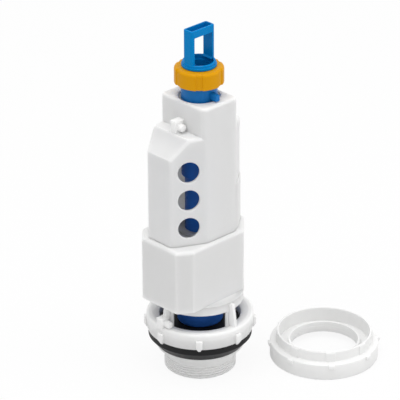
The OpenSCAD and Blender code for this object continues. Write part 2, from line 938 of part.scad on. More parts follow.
valve_base();
base_gasket();
gasket_washer();
lower_housing();
upper_housing();
rear_cover();
tube_guide();
overflow_tube();
neck_sleeve();
sleeve_o_ring();
collet_nut();
collet_ring();
pull_handle();
stem_o_ring();
seal_holder();
main_seal();
seal_retainer();
air_float();
float_clip();
lock_nut();
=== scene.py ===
import json
import math
from types import SimpleNamespace

import bmesh
import bpy
from bpy.props import FloatProperty, FloatVectorProperty, IntProperty, PointerProperty
from mathutils import Matrix, Quaternion, Vector


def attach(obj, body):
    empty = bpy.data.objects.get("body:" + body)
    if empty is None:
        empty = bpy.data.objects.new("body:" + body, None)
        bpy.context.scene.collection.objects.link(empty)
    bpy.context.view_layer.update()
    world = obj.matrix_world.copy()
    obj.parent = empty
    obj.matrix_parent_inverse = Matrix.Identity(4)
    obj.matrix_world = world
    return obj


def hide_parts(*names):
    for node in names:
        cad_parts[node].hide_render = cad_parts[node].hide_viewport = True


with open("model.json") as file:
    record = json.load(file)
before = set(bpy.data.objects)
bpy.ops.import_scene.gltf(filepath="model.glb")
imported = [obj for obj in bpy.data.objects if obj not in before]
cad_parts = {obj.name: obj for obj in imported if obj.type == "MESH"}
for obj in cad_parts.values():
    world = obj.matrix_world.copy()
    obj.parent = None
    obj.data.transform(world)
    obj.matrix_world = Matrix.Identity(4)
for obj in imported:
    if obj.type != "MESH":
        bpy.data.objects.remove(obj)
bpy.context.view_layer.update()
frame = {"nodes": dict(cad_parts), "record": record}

bl_info = {
    "name": "Flush Valve",
    "version": (1, 0, 0),
    "blender": (4, 5, 0),
    "location": "3D View > Sidebar > Flush Valve",
    "description": "Moulded looks of a toilet flush valve with its loose lock nut",
    "category": "Object",
}

MM = 0.001
FAR = 1000.0  # beyond any size of the valve, in mm
LEAST_ROUNDING = 0.6  # at a corner of an outline that is pulled in, in mm
STRAIGHT = math.radians(89.5)  # half the angle of a corner that needs no rounding
FLAT = math.radians(0.4)  # faces that turn less than this become one
FINE_ARC = 7.5  # degrees between the points of a fine rounding

PLASTIC_IOR = 1.49
LIGHT_REACH = 0.009  # how far light passes inside the white plastic, in m
GRAIN_DEPTH = 0.0003  # in m
WHITE = (1.0, 1.0, 1.0, 1.0)

# Radii and heights in mm that more than one piece shares
TUBE_BORE = 10.4
TUBE_R = 12.0
TUBE_LOW = 47.5
TUBE_TOP = 200.0
SEAL_LOW = 41.2
SEAL_BORE = 14.15

# The groove of the tail's thread: where it starts, the spacing of its rows of points and its depth, in mm
THREAD_LOW = 1.2
THREAD_ROW = 0.15
THREAD_DEEP = 1.1


def length(name, description, mm):
    """A size that is typed in millimetres and kept in metres."""
    return FloatProperty(name=name, description=description, default=mm * MM, min=0.0, unit="LENGTH")


def colour(name, description, rgb):
    """A plastic's own colour."""
    return FloatVectorProperty(name=name, description=description, default=rgb, min=0.0, max=1.0,
                               size=3, subtype="COLOR")


class ValveSizes(bpy.types.PropertyGroup):
    """Sizes of the valve's main forms."""

    outlet_r: length("Outlet radius", "Radius of the water way", 25.5)
    root_r: length("Thread root", "Radius at the root of the outlet thread", 28.3)
    thread_r: length("Thread radius", "Outer radius of the outlet thread", 29.8)
    thread_pitch: length("Thread pitch", "Rise of the thread in one turn", 2.309)
    thread_top: length("Thread height", "Height of the threaded stretch", 12.6)
    land_top: length("Land height", "Height at which the washer lies", 20.0)
    shank_r: length("Shank radius", "Radius of the shank inside the gasket", 30.4)
    gasket_low: length("Gasket foot", "Height of the gasket's lower face", 22.3)
    gasket_top: length("Gasket top", "Height of the gasket's upper face", 37.5)
    gasket_r: length("Gasket radius", "Outer radius of the gasket's band", 43.0)
    gasket_foot_r: length("Gasket foot radius", "Radius of the gasket's lower edge", 36.4)
    washer_r: length("Washer radius", "Outer radius of the pale washer", 36.3)
    collar_r: length("Collar radius", "Outer radius of the collar", 44.5)
    collar_foot_r: length("Collar foot radius", "Radius of the collar's lower edge", 43.7)
    skirt_low: length("Skirt foot", "Height of the skirt's lower edge", 35.6)
    rim_top: length("Rim height", "Height of the collar's rim", 50.0)
    deck: length("Deck height", "Height of the deck inside the rim", 48.3)
    seat: length("Seat height", "Height of the seat under the seal", 41.0)
    ring_r: length("Cage ring radius", "Outer radius of the cage ring", 36.0)
    ring_low: length("Cage ring foot", "Height of the cage ring's lower edge", 62.6)
    lower_low: length("Float housing foot", "Height of the float housing's floor", 70.0)
    seam: length("Seam height", "Height of the seam between the housings", 126.0)
    column_top: length("Column height", "Height of the column's top", 245.0)
    column_x: length("Column half width", "Half width of the column", 25.0)
    column_y: length("Column half depth", "Half depth of the column", 19.0)
    bulge_y: length("Bulge front", "Front face of the bulge, distance from the axis", 42.4)
    bulge_right_x: length("Bulge right end", "Right end of the bulge's front face", 10.6)
    bulge_left_x: length("Bulge left end", "Left end of the bulge's front face", 16.4)
    chamfer_y: length("Chamfer end", "Where the holed chamfer meets the column", 15.4)
    top_hole_r: length("Top hole radius", "Radius of the hole in the column's top", 16.8)
    hole_r: length("Hole radius", "Radius of the holes in the chamfer", 9.0)
    hole_first: length("Lowest hole", "Height of the lowest hole", 141.8)
    hole_pitch: length("Hole spacing", "Spacing of the holes", 24.7)
    wall: length("Wall", "Wall of the housings", 2.2)
    peg_r: length("Peg radius", "Radius of the pegs", 3.1)
    neck_r: length("Neck radius", "Outer radius of the neck sleeve", 14.75)
    neck_low: length("Neck foot", "Height of the neck sleeve's lower end", 175.5)
    neck_top: length("Neck end", "Height of the neck sleeve's upper end", 266.0)
    nut_r: length("Clamp nut radius", "Outer radius of the clamp nut", 20.1)
    nut_low: length("Clamp nut foot", "Height of the clamp nut's lower face", 256.2)
    nut_top: length("Clamp nut top", "Height of the clamp nut's upper face", 270.5)
    stem_low: length("Handle stem", "Height of the stem's lower end", 230.8)
    handle_low: length("Handle foot", "Height of the handle's foot", 270.7)
    handle_top: length("Handle top", "Height of the handle's upper edge", 303.6)
    loop_x: length("Loop depth", "Depth of the pull loop", 10.4)
    loop_y: length("Loop width", "Width of the pull loop", 25.6)
    holder_r: length("Seal holder radius", "Radius of the blue seal holder", 20.0)
    seal_top: length("Seal top", "Height of the main seal's upper face", 42.6)
    seal_r: length("Seal radius", "Radius of the main seal", 32.6)
    lock_r: length("Lock nut radius", "Radius of the lock nut's skirt", 45.4)
    lock_x: length("Lock nut place X", "Where the lock nut lies, along X", 62.04)
    lock_y: length("Lock nut place Y", "Where the lock nut lies, along Y", 84.46)


class ValveColours(bpy.types.PropertyGroup):
    """Colours of the plastics and the rubber."""

    white: colour("White plastic", "Housings, base, washer and lock nut", (0.83, 0.83, 0.825))
    blue: colour("Blue plastic", "Handle", (0.0, 0.205, 0.53))
    # Painted shade: the neck's blue is a darker copy of the handle's blue plastic, for the shade that falls on the
    # neck under the clamp nut.
    shaded_neck_blue: colour("Neck blue", "Neck sleeve", (0.006, 0.16, 0.48))
    # Painted light: the tube's blue is lighter than the deep blue plastic of its slot, standing in for light that
    # passes into the housings; the neck's foot takes it too.
    lit_tube_blue: colour("Tube blue", "Overflow tube and the neck's foot", (0.03, 0.18, 0.7))
    deep_blue: colour("Deep blue plastic", "Seal holder and clip", (0.024, 0.12, 0.46))
    amber: colour("Amber plastic", "Clamp nut", (0.66, 0.3, 0.0))
    black: colour("Black rubber", "Gasket, seal and O-rings", (0.011, 0.011, 0.012))


class ValveStage(bpy.types.PropertyGroup):
    """Light and camera."""

    sky: FloatProperty(name="Sky", description="Strength of the light from all round", default=0.7, min=0.0)
    top: FloatProperty(name="Top light", description="Power of the light overhead", default=39.0, min=0.0,
                       unit="POWER")
    side: FloatProperty(name="Side light", description="Power of the light on the right", default=13.0,
                        min=0.0, unit="POWER")
    azimuth: FloatProperty(name="Azimuth", description="Direction of the camera round the valve",
                           default=math.radians(46.0), subtype="ANGLE")
    depression: FloatProperty(name="Depression", description="How far the camera looks down",
                              default=math.radians(26.33), subtype="ANGLE")
    distance: FloatProperty(name="Distance", description="Distance of the camera from the valve's axis",
                            default=2.0624, unit="LENGTH")
    height: FloatProperty(name="Height", description="Height of the camera", default=1.1716, unit="LENGTH")
    lens: FloatProperty(name="Lens", description="Focal length in millimetres", default=254.9)
    shift: FloatProperty(name="Shift", description="Sideways shift of the view", default=0.001)
    floor_reach: IntProperty(name="Floor", description="Half width of the floor in metres", default=4, min=1)


def in_mm(group):
    """The group's lengths in millimetres, by name."""
    return SimpleNamespace(**{key: getattr(group, key) / MM for key in type(group).__annotations__})


class Wire:
    """A shader socket. Arithmetic on it adds Math nodes, and node() adds any other node."""

    def __init__(self, tree, socket=None):
        self.tree = tree
        self.socket = socket

    def node(self, kind, settings=None, inputs=None, output=0):
        """A new node with its settings and inputs, as the wire of one of its outputs."""
        made = self.tree.nodes.new(kind)
        for key, value in (settings or {}).items():
            setattr(made, key, value)
        for key, value in (inputs or {}).items():
            if isinstance(value, Wire):
                self.tree.links.new(value.socket, made.inputs[key])
            else:
                made.inputs[key].default_value = value
        return Wire(self.tree, made.outputs[output])

    def maths(self, operation, first, second):
        """A Math node on two values."""
        return self.node("ShaderNodeMath", {"operation": operation}, {0: first, 1: second})

    def mixed(self, first, second):
        """The first colour where this value is 0, and the second where it is 1."""
        return self.node("ShaderNodeMix", {"data_type": "RGBA"}, {0: self, 6: first, 7: second}, 2)

    def __add__(self, other):
        return self.maths("ADD", self, other)

    def __radd__(self, other):
        return self.maths("ADD", other, self)

    def __sub__(self, other):
        return self.maths("SUBTRACT", self, other)

    def __rsub__(self, other):
        return self.maths("SUBTRACT", other, self)

    def __mul__(self, other):
        return self.maths("MULTIPLY", self, other)

    def __rmul__(self, other):
        return self.maths("MULTIPLY", other, self)


def new_material(name):
    """An empty node material and its output node."""
    material = bpy.data.materials.new(name)
    material.use_nodes = True
    tree = material.node_tree
    tree.nodes.clear()
    return material, tree, tree.nodes.new("ShaderNodeOutputMaterial")


def noise(wire, place, scale, detail, roughness=0.5):
    """Soft noise between 0 and 1 with the given number of lumps in a metre."""
    return wire.node("ShaderNodeTexNoise", None,
                     {"Vector": place, "Scale": scale, "Detail": detail, "Roughness": roughness}, "Fac")


def moulded(name, rgb, shade, gloss, grain, shine, glow=0.0, foot=None):
    """A moulded plastic or rubber: flow marks in its colour, uneven gloss and a fine moulded grain.

    shade is how dark the flow marks are, shine is its reflection, and glow is the share of light that
    passes into it. foot is the colour below a height, and that height in metres.
    """
    material, tree, out = new_material(name)
    wire = Wire(tree)
    place = wire.node("ShaderNodeTexCoord", None, None, "Object")
    stretched = wire.node("ShaderNodeMapping", None, {"Vector": place, "Scale": (1.0, 1.0, 0.35)})
    clouds = noise(wire, stretched, scale=38.0, detail=4.0)
    streaks = noise(wire, stretched, scale=210.0, detail=2.0)
    pits = noise(wire, place, scale=2600.0, detail=2.0, roughness=0.6)
    handling = noise(wire, place, scale=95.0, detail=5.0, roughness=0.62)
    dark = tuple(c * shade for c in rgb) + (1.0,)
    tone = clouds * 0.5 + streaks * 0.5
    base = tone.mixed(dark, tuple(rgb) + (1.0,))
    # Below the foot's height the colour is the foot's; the neck uses this to paint its foot in the lighter tube
    # blue, as painted light.
    if foot:
        level = wire.node("ShaderNodeSeparateXYZ", None, {"Vector": place}, "Z")
        base = wire.maths("GREATER_THAN", level, foot[1]).mixed(tuple(foot[0]) + (1.0,), base)
    rough = gloss + (handling - 0.5) * 0.16 + (pits - 0.5) * 0.05
    relief = pits * 0.6 + handling * 0.4
    bump = wire.node("ShaderNodeBump", None, {"Height": relief, "Strength": grain, "Distance": GRAIN_DEPTH})
    shader = wire.node("ShaderNodeBsdfPrincipled", None, {
        "Base Color": base, "Roughness": rough, "Normal": bump, "IOR": PLASTIC_IOR,
        "Specular IOR Level": shine, "Subsurface Weight": glow, "Subsurface Radius": (1.0, 1.0, 1.0),
        "Subsurface Scale": LIGHT_REACH})
    tree.links.new(shader.socket, out.inputs["Surface"])
    return material


def finish_of(slot):
    """The moulded material of a slot, made when it is first asked for."""
    c = bpy.context.scene.valve_colours
    white = dict(rgb=c.white, shade=0.965, gloss=0.42, grain=0.05, shine=0.4)
    blue = dict(shade=0.9, gloss=0.3, grain=0.06)
    looks = {
        "white_plastic": dict(white, name="white_moulded", glow=0.72),
        "white_skin": dict(white, name="white_skin_moulded", glow=0.3),
        "blue_plastic": dict(blue, name="blue_moulded", rgb=c.blue, shine=0.06),
        # Painted shade and light: the neck takes the darker copy of the blue, and below 215 mm the lighter tube
        # blue.
        "shaded_neck_blue": dict(blue, name="neck_blue_moulded", rgb=c.shaded_neck_blue, shine=0.16,
                          foot=(c.lit_tube_blue, 0.215)),
        # Painted light: the tube's finish is a lighter copy of its deep blue.
        "lit_tube_blue": dict(blue, name="tube_blue_moulded", rgb=c.lit_tube_blue, shine=0.16),
        "dark_blue_plastic": dict(name="deep_blue_moulded", rgb=c.deep_blue, shade=0.88, gloss=0.3,
                                  grain=0.06, shine=0.2),
        "amber_plastic": dict(name="amber_moulded", rgb=c.amber, shade=0.94, gloss=0.36, grain=0.06,
                              shine=0.1),
        "black_rubber": dict(name="black_rubber_moulded", rgb=c.black, shade=0.7, gloss=0.5, grain=0.12,
                             shine=0.2),
    }
    look = looks[slot]
    return bpy.data.materials.get(look["name"]) or moulded(**look)


def rounded(outline, step=10.0):
    """The points of an outline whose corners are given as x, y and the radius of their rounding."""
    points = []
    for i, (x, y, r) in enumerate(outline):
        c = Vector((x, y))
        p = Vector(outline[i - 1][:2]) - c
        q = Vector(outline[(i + 1) % len(outline)][:2]) - c
        half = p.angle(q) / 2
        if r <= 0 or half > STRAIGHT:
            points.append((x, y))
            continue
        reach = min(r / math.tan(half), 0.49 * p.length, 0.49 * q.length)
        r = reach * math.tan(half)
        middle = c + (p.normalized() + q.normalized()).normalized() * r / math.sin(half)
        first = c + p.normalized() * reach - middle
        last = c + q.normalized() * reach - middle
        a0 = math.atan2(first.y, first.x)
        turn = (math.atan2(last.y, last.x) - a0 + math.pi) % (2 * math.pi) - math.pi
        n = max(2, math.ceil(abs(math.degrees(turn)) / step))
        for k in range(n + 1):
            a = a0 + turn * k / n
            points.append((middle.x + r * math.cos(a), middle.y + r * math.sin(a)))
    return points


def inset(plan, d):
    """A convex outline pulled in by d, with the roundings that are left."""
    pulled = []
    for i, (x, y, r) in enumerate(plan):
        c = Vector((x, y))
        p = (Vector(plan[i - 1][:2]) - c).normalized()
        q = (Vector(plan[(i + 1) % len(plan)][:2]) - c).normalized()
        m = c + (p + q).normalized() * d / math.sin(p.angle(q) / 2)
        pulled.append((m.x, m.y, max(r - d, LEAST_ROUNDING)))
    return pulled


def clipped(points, low, high):
    """The part of a convex outline whose second coordinate is between low and high."""
    for limit, sign in ((low, 1.0), (high, -1.0)):
        kept = []
        for i, here in enumerate(points):
            last = points[i - 1]
            a, b = sign * (last[1] - limit), sign * (here[1] - limit)
            if a * b < 0:
                t = a / (a - b)
                kept.append((last[0] + t * (here[0] - last[0]), limit))
            if b >= 0:
                kept.append(here)
        points = kept
    return points


def edge_points(plan, z, r, d, low=-FAR, high=FAR, step=15):
    """Points of the slices that round a block's upper edge, at height z, with radius r.

    The plan is pulled in by d and cut off below low and above high in depth. step is in degrees.
    """
    points = []
    for a in range(0, 91, step):
        turn = math.radians(a)
        level = rounded(inset(plan, d + r * (1 - math.cos(turn))), FINE_ARC)
        points += [(x, y, z - r + r * math.sin(turn)) for x, y in clipped(level, low, high)]
    return points


def slice_points(plan, z, d=0.0):
    """Points of one slice of a block at height z."""
    return [(x, y, z) for x, y in rounded(inset(plan, d), FINE_ARC)]


def hull(bm, points):
    """The convex body round the points, with its flat faces in one piece."""
    corners = [bm.verts.new(p) for p in points]
    made = bmesh.ops.convex_hull(bm, input=corners)
    inside = dict.fromkeys(v for v in made["geom_interior"] + made["geom_unused"]
                           if isinstance(v, bmesh.types.BMVert))
    bmesh.ops.delete(bm, geom=list(inside), context="VERTS")
    kept = [v for v in corners if v.is_valid]
    edges = dict.fromkeys(e for v in kept for e in v.link_edges)
    bmesh.ops.dissolve_limit(bm, angle_limit=FLAT, verts=kept, edges=list(edges))


def revolve(bm, profile, steps=128, shape=None):
    """A ring with the closed profile of radius and height, or a solid where the profile meets the axis.

    shape(angle, r, z) may change a point.
    """
    poles = {j: bm.verts.new((0.0, 0.0, z)) for j, (r, z) in enumerate(profile) if r == 0}
    rings = []
    for i in range(steps):
        a = 2 * math.pi * i / steps
        ring = []
        for j, (r, z) in enumerate(profile):
            if shape:
                r, z = shape(a, r, z)
            ring.append(poles.get(j) or bm.verts.new((r * math.cos(a), r * math.sin(a), z)))
        rings.append(ring)
    for i in range(steps):
        here, there = rings[i], rings[(i + 1) % steps]
        for j in range(len(profile)):
            k = (j + 1) % len(profile)
            corners = list(dict.fromkeys((here[j], there[j], there[k], here[k])))
            if len(corners) > 2:
                bm.faces.new(corners)
    return list(dict.fromkeys(v for ring in rings for v in ring))


def prism(bm, rows):
    """A closed body between two like rows of corners, as its faces."""
    faces = [bm.faces.new(rows[0]), bm.faces.new(list(reversed(rows[1])))]
    n = len(rows[0])
    for i in range(n):
        k = (i + 1) % n
        faces.append(bm.faces.new((rows[0][k], rows[0][i], rows[1][i], rows[1][k])))
    return faces


def wedge(bm, angle, width, outline, soft):
    """A rib at an angle: its outline in the plane of radius and height, with softened edges."""
    turn = Matrix.Rotation(math.radians(angle), 4, "Z")
    sides = [[bm.verts.new(turn @ Vector((r, s * width, z))) for r, z in outline] for s in (-0.5, 0.5)]
    edges = dict.fromkeys(e for f in prism(bm, sides) for e in f.edges)
    bmesh.ops.bevel(bm, geom=list(edges), offset=soft, segments=3, affect="EDGES", profile=0.5,
                    clamp_overlap=True)


def slab(bm, low, high, soft):
    """A block between two corners, with softened edges."""
    made = bmesh.ops.create_cube(bm, size=1.0)
    middle = (Vector(low) + Vector(high)) / 2
    span = Vector(high) - Vector(low)
    for v in made["verts"]:
        v.co = middle + Vector((v.co.x * span.x, v.co.y * span.y, v.co.z * span.z))
    edges = dict.fromkeys(e for v in made["verts"] for e in v.link_edges)
    bmesh.ops.bevel(bm, geom=list(edges), offset=soft, segments=3, affect="EDGES", profile=0.5)


def pin(bm, low, block, radius, reach):
    """A round-ended pin that points to +X out of a block with this low corner and these sides."""
    root = -1.5
    profile = rounded([(0, root, 0), (radius, root, 0), (radius, reach, 1.1), (0, reach, 0)], 15)
    made = revolve(bm, profile, 40)
    middle = Vector((low[0] + block[0], low[1] + block[1] / 2, low[2] + block[2] / 2))
    lie = Matrix.Translation(middle) @ Matrix.Rotation(math.radians(90), 4, "Y")
    bmesh.ops.transform(bm, matrix=lie, verts=made)


def solid(name, bm):
    """A new object in metres from a mesh that was built in millimetres."""
    bmesh.ops.recalc_face_normals(bm, faces=bm.faces)
    if bm.calc_volume(signed=True) < 0:
        bmesh.ops.reverse_faces(bm, faces=bm.faces)
    bmesh.ops.scale(bm, vec=(MM, MM, MM), verts=bm.verts)
    mesh = bpy.data.meshes.new(name)
    bm.to_mesh(mesh)
    bm.free()
    made = bpy.data.objects.new(name, mesh)
    bpy.context.scene.collection.objects.link(made)
    return made


def baked(piece):
    """Makes the piece's modifiers part of its mesh."""
    bpy.context.view_layer.update()
    graph = bpy.context.evaluated_depsgraph_get()
    mesh = bpy.data.meshes.new_from_object(piece.evaluated_get(graph))
    piece.modifiers.clear()
    piece.data = mesh


def joined(piece, other, operation):
    """Unites the piece with another, or cuts it with the other, which is used up."""
    change = piece.modifiers.new("join", "BOOLEAN")
    change.operation = operation
    change.solver = "EXACT"
    change.object = other
    baked(piece)
    bpy.data.objects.remove(other)


def merged(piece, gap):
    """Makes one of points that lie closer than the gap, in millimetres."""
    bm = bmesh.new()
    bm.from_mesh(piece.data)
    bmesh.ops.remove_doubles(bm, verts=bm.verts, dist=gap * MM)
    bm.to_mesh(piece.data)
    bm.free()


def ribbed(piece, name, angles, width, outline, soft):
    """Unites the piece with ribs that stand at the given angles."""
    for angle in angles:
        bm = bmesh.new()
        wedge(bm, angle, width, outline, soft)
        joined(piece, solid(name, bm), "UNION")


def placed(piece, node, body, slot, sharp=32.0, finish=None):
    """Smooths a finished piece and hands it to the body and node that it stands for."""
    mesh = piece.data
    mesh.polygons.foreach_set("use_smooth", [True] * len(mesh.polygons))
    mesh.set_sharp_from_angle(angle=math.radians(sharp))
    weigh = piece.modifiers.new("weigh", "WEIGHTED_NORMAL")
    weigh.keep_sharp = True
    weigh.weight = 60
    baked(piece)
    piece.data.materials.clear()
    piece.data.materials.append(finish_of(finish or slot))
    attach(piece, body)
    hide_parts(node)


class VALVE_OT_stage(bpy.types.Operator):
    """Make the floor, the light and the camera"""

    bl_idname = "valve.stage"
    bl_label = "Stage"

    def execute(self, context):
        stage = context.scene.valve_stage
        self.floor(stage.floor_reach)
        self.sky(stage.sky)
        self.lamp("top_light", place=(0.3, -0.5, 2.6), aim=(0.0, 0.0, 0.1), size=2.2, power=stage.top)
        self.lamp("side_light", place=(2.0, 1.4, 1.3), aim=(0.0, 0.0, 0.15), size=1.6, power=stage.side)
        self.camera(stage)
        context.scene.view_settings.view_transform = "Standard"
        return {"FINISHED"}

    def floor(self, reach):
        """A pale floor just below the valve that the camera sees as nearly white, with its shadow."""
        below, whiteness = 0.3, 0.9
        bm = bmesh.new()
        bmesh.ops.create_grid(bm, x_segments=1, y_segments=1, size=reach / MM)
        bmesh.ops.translate(bm, vec=(0, 0, -below), verts=bm.verts)
        ground = solid("floor", bm)
        material, tree, out = new_material("pale_floor")
        wire = Wire(tree)
        seen = self.seen(wire) * whiteness
        paper = wire.node("ShaderNodeBsdfDiffuse", None, {"Color": (0.8, 0.8, 0.8, 1.0)})
        white = wire.node("ShaderNodeEmission", None, {"Color": WHITE, "Strength": 1.0})
        mixed = wire.node("ShaderNodeMixShader", None, {0: seen, 1: paper, 2: white})
        tree.links.new(mixed.socket, out.inputs["Surface"])
        ground.data.materials.append(material)

    def seen(self, wire):
        """1 for what the camera sees, by itself, in a gloss or through glass."""
        rays = [wire.node("ShaderNodeLightPath", None, None, kind)
                for kind in ("Is Camera Ray", "Is Glossy Ray", "Is Transmission Ray")]
        return wire.maths("MAXIMUM", wire.maths("MAXIMUM", rays[0], rays[1]), rays[2])

    def sky(self, strength):
        """Even light from all round, which the camera sees as white."""
        world = bpy.data.worlds.new("studio")
        bpy.context.scene.world = world
        world.use_nodes = True
        tree = world.node_tree
        tree.nodes.clear()
        wire = Wire(tree)
        light = wire.node("ShaderNodeBackground", None, {"Color": WHITE, "Strength": strength})
        white = wire.node("ShaderNodeBackground", None, {"Color": WHITE, "Strength": 1.0})
        mixed = wire.node("ShaderNodeMixShader", None, {0: self.seen(wire), 1: light, 2: white})
        tree.links.new(mixed.socket, tree.nodes.new("ShaderNodeOutputWorld").inputs["Surface"])

    def lamp(self, name, place, aim, size, power):
        """A square soft light at a place, turned to what it aims at."""
        light = bpy.data.lights.new(name, "AREA")
        light.energy = power
        light.size = size
        made = bpy.data.objects.new(name, light)
        made.location = place
        made.rotation_euler = (Vector(aim) - Vector(place)).to_track_quat("-Z", "Y").to_euler()
        bpy.context.scene.collection.objects.link(made)

    def camera(self, stage):
        """The photograph's camera, which leans a little to one side."""
        roll = math.radians(-0.23)
        data = bpy.data.cameras.new("camera")
        data.sensor_width = 36.0
        data.lens = stage.lens
        data.shift_x = stage.shift
        data.clip_end = 50.0
        made = bpy.data.objects.new("camera", data)
        side = Vector((math.sin(stage.azimuth), -math.cos(stage.azimuth), 0.0))
        made.location = side * stage.distance + Vector((0.0, 0.0, stage.height))
        way = -side * math.cos(stage.depression) - Vector((0.0, 0.0, math.sin(stage.depression)))
        lean = Quaternion((0.0, 0.0, 1.0), roll)
        made.rotation_euler = (way.to_track_quat("-Z", "Y") @ lean).to_euler()
        bpy.context.scene.collection.objects.link(made)
        bpy.context.scene.camera = made


class VALVE_OT_base(bpy.types.Operator):
    """Make the outlet base with its thread, collar, cage and peg"""

    bl_idname = "valve.base"
    bl_label = "Outlet base"

    def execute(self, context):
        s = in_mm(context.scene.valve_sizes)
        skirt_in = s.collar_r - 2.5
        deck_r = s.seal_r + 1
        rim_in, seat_in = 40.0, 27.0
        count = int((s.thread_top - THREAD_LOW) / THREAD_ROW)
        rows = [(s.thread_r, THREAD_LOW + THREAD_ROW * i, 0) for i in range(count)]
        bm = bmesh.new()
        revolve(bm, rounded([(s.outlet_r, 0, 0.5), (s.root_r - 0.1, 0, 0.7)] + rows + [
            (s.thread_r, s.land_top, 0.15), (s.shank_r, s.land_top, 0.15),
            (s.shank_r, s.gasket_top, 0), (s.shank_r + 4, s.gasket_top, 0), (skirt_in, s.deck - 4.5, 0.5),
            (skirt_in, s.skirt_low, 0.3), (s.collar_foot_r, s.skirt_low, 0.4),
            (s.collar_r, s.skirt_low + 8.4, 3), (s.collar_r, s.rim_top, 2.4), (rim_in, s.rim_top, 2.0),
            (deck_r, s.deck, 0.7), (deck_r, s.seat, 0.3), (seat_in, s.seat, 0.4), (seat_in, 34.0, 0.3),
            (s.outlet_r, 31.0, 0.3)]), 160, lambda a, r, z: (self.threaded(s, a, r, z), z))
        base = solid("outlet_base", bm)
        self.cage(base, s)
        for i in range(8):
            bm = bmesh.new()
            self.nub(bm, 45 * i, s)
            joined(base, solid("grip_nub", bm), "UNION")
        low, block = Vector((-4.5, -1.1 - s.collar_r, s.rim_top - 1.8)), Vector((6.5, 9.7, 10.0))
        bm = bmesh.new()
        slab(bm, low, low + block, 0.7)
        joined(base, solid("peg_block", bm), "UNION")
        bm = bmesh.new()
        pin(bm, low, block, s.peg_r, 6.0)
        joined(base, solid("peg_pin", bm), "UNION")
        placed(base, "valve_base", "valve_body", "white_plastic")
        return {"FINISHED"}

    def threaded(self, s, angle, r, z):
        """The radius of a point, less where the groove of the thread winds up the tail."""
        if r < s.root_r or z > s.thread_top:
            return r
        turn = (z / s.thread_pitch - angle / (2 * math.pi)) % 1.0
        deep = max(0.0, 1.0 - abs(turn - 0.5) / 0.3)
        run_out = min(1.0, max(0.0, z - THREAD_LOW), max(0.0, s.thread_top - z))
        return r - THREAD_DEEP * deep * deep * (3 - 2 * deep) * run_out

    def nub(self, bm, angle, s):
        """A grip nub on the collar that runs out to a point below."""
        inner, outer, half = s.collar_r - 1.6, s.collar_r + 2, 2.7
        tip_in, tip_out, tip_half = s.gasket_r + 0.15, s.collar_foot_r + 0.7, 1.1
        low = s.skirt_low
        turn = Matrix.Rotation(math.radians(angle), 3, "Z")
        block = [(inner, -half, 0), (outer, -half, 0.7), (outer, half, 0.7), (inner, half, 0)]
        tip = [(tip_in, -tip_half, 0), (tip_out, -tip_half, 0.3), (tip_out, tip_half, 0.3), (tip_in, tip_half, 0)]
        levels = ((tip, -1.1), (tip, 0.2), (block, 2.6), (block, 8.5), (inset(block, 0.5), 9.0))
        hull(bm, [turn @ Vector((x, y, low + z)) for plan, z in levels for x, y in rounded(plan, 15)])

    def cage(self, base, s):
        """Four legs with fins on the deck, and the ring that they carry."""
        ring_in = s.ring_r - 3.5
        leg_in, leg_out = s.seal_r + 0.6, s.ring_r - 0.4
        quarters = (0, 90, 180, 270)
        ribbed(base, "cage_leg", quarters, 8.0, [
            (leg_in, s.deck - 2), (leg_out, s.deck - 2), (leg_out, s.ring_low + 1), (leg_in, s.ring_low + 1)], 0.4)
        ribbed(base, "cage_fin", quarters, 3.0, [
            (s.ring_r - 2, s.deck - 1), (s.collar_r - 2, s.deck - 1), (s.collar_r - 2.2, s.rim_top - 0.2),
            (s.ring_r + 3.5, s.lower_low - 0.3), (s.ring_r - 2, s.lower_low - 0.3)], 0.4)
        bm = bmesh.new()
        revolve(bm, rounded([(ring_in, s.ring_low, 0.5), (s.ring_r, s.ring_low, 0.6),
                             (s.ring_r, s.lower_low, 0.3), (ring_in, s.lower_low, 0.3)]), 128)
        joined(base, solid("cage_ring", bm), "UNION")


class VALVE_OT_gasket(bpy.types.Operator):
    """Make the rubber gasket under the collar and its pale washer"""

    bl_idname = "valve.gasket"
    bl_label = "Gasket and washer"

    def execute(self, context):
        s = in_mm(context.scene.valve_sizes)
        inner = s.shank_r + 0.05
        step_r, step = s.collar_r - 2.7, s.skirt_low - 0.05
        bm = bmesh.new()
        revolve(bm, rounded([
            (inner, s.gasket_low, 0.3), (s.gasket_foot_r, s.gasket_low, 0.6),
            (s.gasket_r, s.gasket_low + 7.8, 0.7), (s.gasket_r, step, 0.5), (step_r, step, 0),
            (step_r, s.gasket_top, 0.5), (inner, s.gasket_top, 0.3)]), 144)
        placed(solid("rubber_gasket", bm), "base_gasket", "valve_body", "black_rubber")
        bm = bmesh.new()
        revolve(bm, rounded([(inner, s.land_top, 0.2), (s.washer_r, s.land_top, 0.5),
                             (s.washer_r, s.gasket_low, 0.3), (inner, s.gasket_low, 0.2)]), 144)
        placed(solid("pale_washer", bm), "gasket_washer", "valve_body", "white_plastic")
        return {"FINISHED"}


